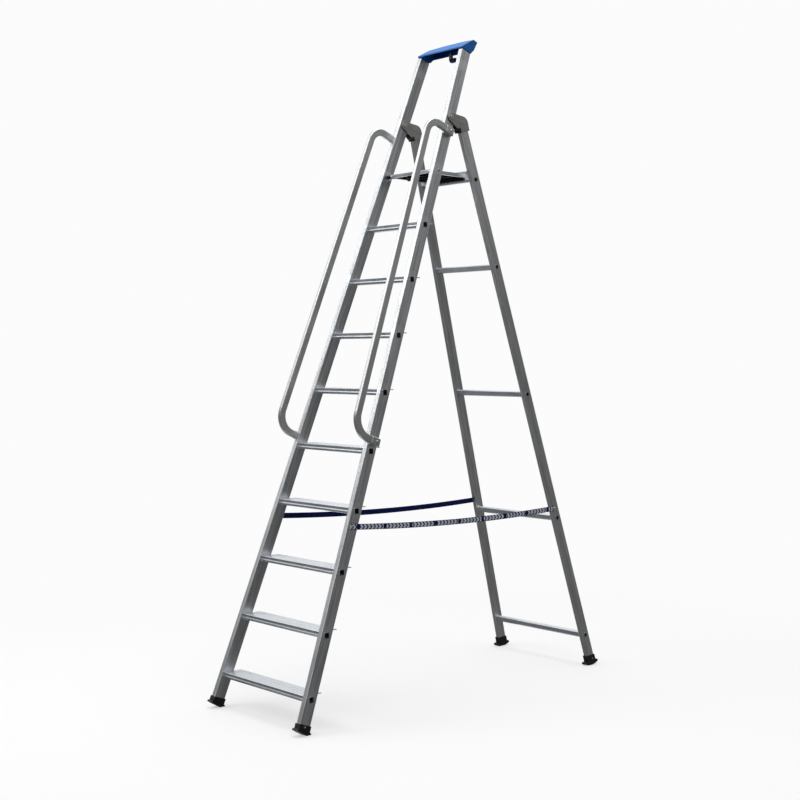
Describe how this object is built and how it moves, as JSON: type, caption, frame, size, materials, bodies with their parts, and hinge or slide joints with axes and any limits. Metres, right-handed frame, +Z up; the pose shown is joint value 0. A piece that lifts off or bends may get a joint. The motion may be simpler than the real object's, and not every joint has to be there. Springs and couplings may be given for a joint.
{
  "type": "platform step ladder",
  "caption": "Tall aluminium platform step ladder with leaning treads, side handrails, a flip-up platform, folding rear frame, tray handle and webbing spreader straps.",
  "frame": {"origin": "centre of the footprint on the floor, ladder open", "axes": "+Z up, +Y from the steps towards the rear legs, +X to the climber's right"},
  "size_m": [0.6386, 1.9331, 3.0397],
  "materials": {
    "stile_aluminium": "mill finish extrusion, fine lines along its length",
    "tread_aluminium": "bright ribbed extrusion",
    "handrail_aluminium": "satin bent tube",
    "cast_grey": "grey painted casting, fine grain",
    "blue_plastic": "moulded, soft sheen",
    "navy_plastic": "moulded, soft sheen",
    "black_plastic": "moulded, fine grain",
    "steel": "zinc plated",
    "navy_webbing": "woven webbing with a pale woven pattern on its outer side"
  },
  "bodies": {
    "front_frame": {"front_stile_right": "stile_aluminium", "front_stile_left": "stile_aluminium", "step_1": "tread_aluminium", "step_2": "tread_aluminium", "step_3": "tread_aluminium", "step_4": "tread_aluminium", "step_5": "tread_aluminium", "step_6": "tread_aluminium", "step_7": "tread_aluminium", "step_8": "tread_aluminium", "step_9": "tread_aluminium", "top_handle": "blue_plastic", "bucket_hook": "navy_plastic", "handle_rivets": "steel", "front_foot_right": "black_plastic", "front_foot_left": "black_plastic", "front_foot_rivets": "steel", "handrail_right": "handrail_aluminium", "handrail_left": "handrail_aluminium", "handrail_sockets_right": "handrail_aluminium", "handrail_sockets_left": "handrail_aluminium", "handrail_bolts": "steel", "hinge_bush_right": "black_plastic", "hinge_bush_left": "black_plastic", "stile_rivets": "steel", "strap_front_rivets": "steel", "strap_right": "navy_webbing", "strap_left": "navy_webbing", "platform_spacers": "black_plastic", "platform_pins": "steel"},
    "platform": {"platform_deck": "black_plastic", "platform_front_profile": "tread_aluminium", "platform_rear_profile": "tread_aluminium", "platform_bracket_right": "tread_aluminium", "platform_bracket_left": "tread_aluminium", "platform_screws": "steel", "platform_latch": "black_plastic"},
    "rear_frame": {"rear_leg_right": "stile_aluminium", "rear_leg_left": "stile_aluminium", "rear_rung_1": "tread_aluminium", "rear_rung_2": "tread_aluminium", "rear_rung_3": "tread_aluminium", "rear_rung_4": "tread_aluminium", "platform_crossbar": "tread_aluminium", "crossbar_plugs": "black_plastic", "rear_foot_right": "black_plastic", "rear_foot_left": "black_plastic", "rear_foot_rivets": "steel", "hinge_head_right": "cast_grey", "hinge_head_left": "cast_grey", "hinge_pin_right": "steel", "hinge_pin_left": "steel", "hinge_liners": "black_plastic", "hinge_pads": "black_plastic", "leg_rivets": "steel", "strap_rear_rivets": "steel"}
  },
  "joints": [
    {"name": "fold", "type": "hinge", "parent": "front_frame", "child": "rear_frame", "pos_m": [0, 0.05637, 2.64577], "axis": [-1, 0, 0], "range_deg": [0, 36.9], "deforming": ["strap_right", "strap_left"]},
    {"name": "platform_flip", "type": "hinge", "parent": "front_frame", "child": "platform", "pos_m": [0, -0.0342, 2.393], "axis": [1, 0, 0], "range_deg": [0, 66.2]}
  ],
  "couplings": [
    {"joint": "platform_flip", "follows": "fold", "ratio": 1.7886}
  ]
}
